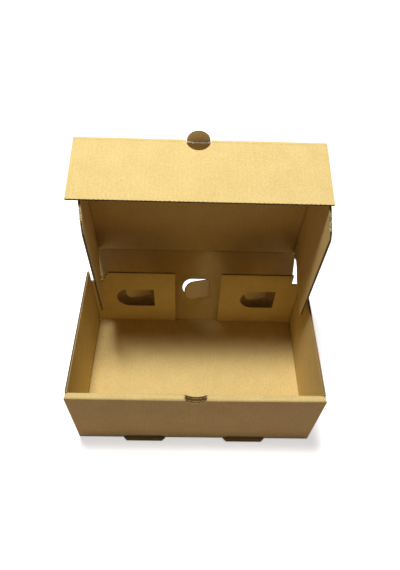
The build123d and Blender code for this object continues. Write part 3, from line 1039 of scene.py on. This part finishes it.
def torn_tree():
    """Slivers of paper along X that stand out along Y."""
    tree = bpy.data.node_groups.new("torn_fibres", "GeometryNodeTree")
    add_inputs(tree, ("Slivers", "Seed"), ("Run", "Reach", "Depth"))
    nodes, links = tree.nodes, tree.links
    given = nodes.new("NodeGroupInput").outputs
    blade = nodes.new("GeometryNodeMeshCube")
    blade.inputs["Size"].default_value = (1, 1, 0.12)
    blade.inputs["Vertices Y"].default_value = 4
    split = nodes.new("ShaderNodeSeparateXYZ")
    links.new(nodes.new("GeometryNodeInputPosition").outputs[0], split.inputs[0])
    out = math_node(nodes, links, "ADD", split.outputs["Y"], 0.5)
    narrow = math_node(nodes, links, "SUBTRACT", 1.0, math_node(nodes, links, "MULTIPLY", out, 0.8))
    curl = math_node(nodes, links, "MULTIPLY", math_node(nodes, links, "MULTIPLY", out, out), 0.35)
    shape = nodes.new("ShaderNodeCombineXYZ")
    links.new(math_node(nodes, links, "MULTIPLY", split.outputs["X"], narrow), shape.inputs["X"])
    links.new(out, shape.inputs["Y"])
    links.new(math_node(nodes, links, "ADD", split.outputs["Z"], curl), shape.inputs["Z"])
    bend = nodes.new("GeometryNodeSetPosition")
    links.new(blade.outputs["Mesh"], bend.inputs["Geometry"])
    links.new(shape.outputs[0], bend.inputs["Position"])
    row = nodes.new("GeometryNodeMeshLine")
    step = nodes.new("ShaderNodeCombineXYZ")
    links.new(math_node(nodes, links, "DIVIDE", given["Run"], given["Slivers"]), step.inputs["X"])
    links.new(given["Slivers"], row.inputs["Count"])
    links.new(step.outputs[0], row.inputs["Offset"])
    shift = nodes.new("GeometryNodeSetPosition")
    across = random_float(nodes, links, given["Seed"], 1, -0.5, 0.5)
    offset = nodes.new("ShaderNodeCombineXYZ")
    links.new(math_node(nodes, links, "MULTIPLY", across, given["Depth"]), offset.inputs["Z"])
    links.new(row.outputs["Mesh"], shift.inputs["Geometry"])
    links.new(offset.outputs[0], shift.inputs["Offset"])
    turn = nodes.new("ShaderNodeCombineXYZ")
    for axis, number, limit in (("X", 2, 0.5), ("Y", 3, 0.9), ("Z", 4, 0.8)):
        links.new(random_float(nodes, links, given["Seed"], number, -limit, limit), turn.inputs[axis])
    size = nodes.new("ShaderNodeCombineXYZ")
    long_way = math_node(nodes, links, "MULTIPLY", given["Reach"],
                         random_float(nodes, links, given["Seed"], 5, 0.3, 1.0))
    wide = math_node(nodes, links, "MULTIPLY", given["Reach"],
                     random_float(nodes, links, given["Seed"], 6, 0.2, 0.8))
    for axis, value in (("X", wide), ("Y", long_way), ("Z", wide)):
        links.new(value, size.inputs[axis])
    copies = nodes.new("GeometryNodeInstanceOnPoints")
    links.new(shift.outputs["Geometry"], copies.inputs["Points"])
    links.new(bend.outputs["Geometry"], copies.inputs["Instance"])
    links.new(turn.outputs[0], copies.inputs["Rotation"])
    links.new(size.outputs[0], copies.inputs["Scale"])
    close_tree(tree, copies.outputs[0], given["Paper"])
    return tree


torn = torn_tree()
print("tree inputs", [item.name for item in torn.interface.items_tree])

# %% [markdown]
# A tuft is made along X and then laid on its torn line. The line gives one axis, the side
# that the fibres stand out to gives the second, and the third is square to both. The fold
# under the thumb tab has cracked its liner, so it gets a fine tuft too.

# %% Put the tufts where the board is torn
def tuft(name, body, start, end, outward, slivers, reach, seed, depth=2.0 * MM):
    """A tuft of torn fibres between two points, riding on a body."""
    line = end - start
    holder = as_object(name, bpy.data.meshes.new(name))
    modifier = holder.modifiers.new("tuft", "NODES")
    modifier.node_group = torn
    sizes = {"Slivers": slivers, "Run": line.length, "Reach": reach, "Depth": depth,
             "Seed": seed, "Paper": torn_and_lit_paper}
    for item in torn.interface.items_tree:
        if item.in_out == "INPUT":
            modifier[item.identifier] = sizes[item.name]
    mesh = baked(holder, name)
    bpy.data.objects.remove(holder)
    x_axis = line.normalized()
    y_axis = (outward - x_axis * outward.dot(x_axis)).normalized()
    turn = Matrix((x_axis, y_axis, x_axis.cross(y_axis))).transposed().to_4x4()
    mesh.transform(Matrix.Translation(start) @ turn)
    made = as_object(name, mesh)
    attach(made, body)
    print(name, len(mesh.polygons), "faces")


tuft("torn_left_corner", "lid", left_flap.point(0.099, 0.2005), left_flap.point(0.121, 0.1930),
     left_flap.along + left_flap.across * 0.4, 30, 4.2 * MM, 11)
tuft("torn_right_corner", "lid", right_flap.point(0.100, 0.2005), right_flap.point(0.123, 0.1925),
     right_flap.along + right_flap.across * 0.3, 30, 4.2 * MM, 23)
face_y = rear_flap_y - BOARD / 2
notch_low = Vector((-0.1560, face_y, 0.1200))
notch_high = Vector((-0.1475, face_y, 0.1315))
tuft("torn_notch", "base", notch_low, notch_high, Vector((-0.5, -1, 0)), 26, 4.0 * MM, 37)
tuft("torn_left_tip", "lid", left_flap.point(0.118, 0.0120), left_flap.point(0.128, 0.0150),
     -left_flap.along, 12, 1.6 * MM, 5)
fold_inside = flap_crease + lid_down * (BOARD / 2)
tuft("torn_tab_fold", "lid", fold_inside + RIGHT * (TAB_MIDDLE - TAB_RADIUS),
     fold_inside + RIGHT * (TAB_MIDDLE + TAB_RADIUS), lid_down, 48, 3.0 * MM, 71, 1.6 * MM)
